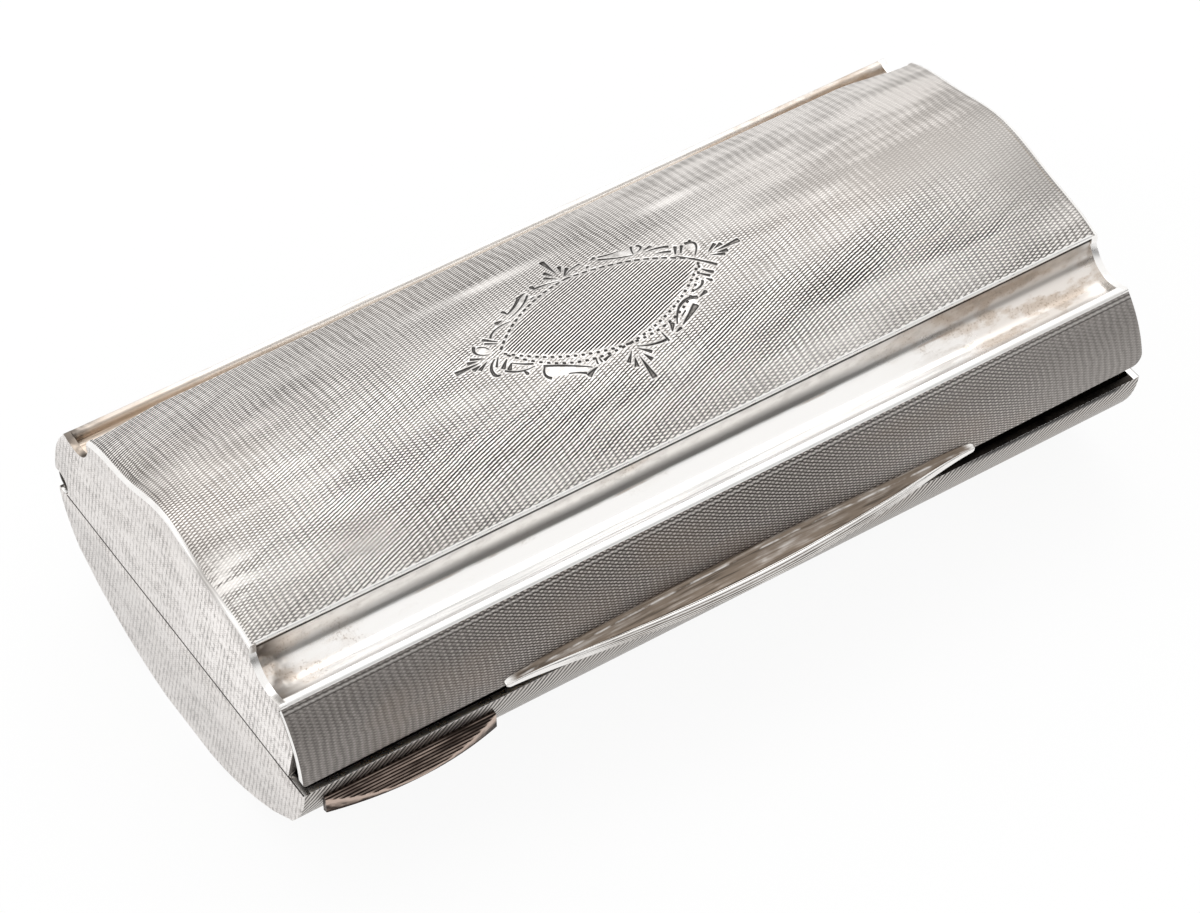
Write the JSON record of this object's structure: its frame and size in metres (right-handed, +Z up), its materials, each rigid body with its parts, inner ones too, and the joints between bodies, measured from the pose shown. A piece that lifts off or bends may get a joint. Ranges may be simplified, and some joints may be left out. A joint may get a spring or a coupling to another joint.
{
  "type": "snuff box",
  "caption": "Long silver snuff box with a domed, engine-turned hinged lid, polished side flutes, a reeded thumbpiece and an inner bezel.",
  "frame": {"origin": "middle of the flat along the bottom that the box rests on", "axes": "+X along the length, to the right as seen from the thumbpiece; -Y the front with the thumbpiece; +Z up through the lid"},
  "size_m": [0.09, 0.0477, 0.0281],
  "materials": {
    "engine_turned_silver": "silver cut with fine wavy engine-turned lines, worn bright on its edges",
    "polished_silver": "polished silver with light brown tarnish in its hollows",
    "tarnished_silver": "reeded silver, dark brown in the grooves and bright on the rim",
    "gilt_silver": "thin worn gilding on the inside"
  },
  "bodies": {
    "base": {"base_bottom_panel": "engine_turned_silver", "base_front_flute": "polished_silver", "base_rear_flute": "polished_silver", "base_front_panel": "engine_turned_silver", "base_rear_panel": "engine_turned_silver", "base_left_end": "engine_turned_silver", "base_right_end": "engine_turned_silver", "base_thumb_rest": "tarnished_silver", "base_hinge_bearer": "gilt_silver", "base_knuckle_1": "polished_silver", "base_knuckle_2": "polished_silver", "base_knuckle_3": "polished_silver", "base_knuckle_4": "polished_silver", "base_knuckle_5": "polished_silver", "bezel_front": "gilt_silver", "bezel_left": "gilt_silver", "bezel_right": "gilt_silver", "hinge_pin": "polished_silver"},
    "lid": {"lid_crown_panel": "engine_turned_silver", "lid_front_flute": "polished_silver", "lid_rear_flute": "polished_silver", "lid_front_panel": "engine_turned_silver", "lid_rear_panel": "engine_turned_silver", "lid_left_end": "engine_turned_silver", "lid_right_end": "engine_turned_silver", "lid_thumbpiece": "polished_silver", "lid_hinge_bearer": "gilt_silver", "lid_knuckle_1": "polished_silver", "lid_knuckle_2": "polished_silver", "lid_knuckle_3": "polished_silver", "lid_knuckle_4": "polished_silver"}
  },
  "joints": [
    {"name": "lid_hinge", "type": "hinge", "parent": "base", "child": "lid", "pos_m": [0, 0.02135, 0.0135], "axis": [-1, 0, 0], "range_deg": [0, 105]}
  ]
}
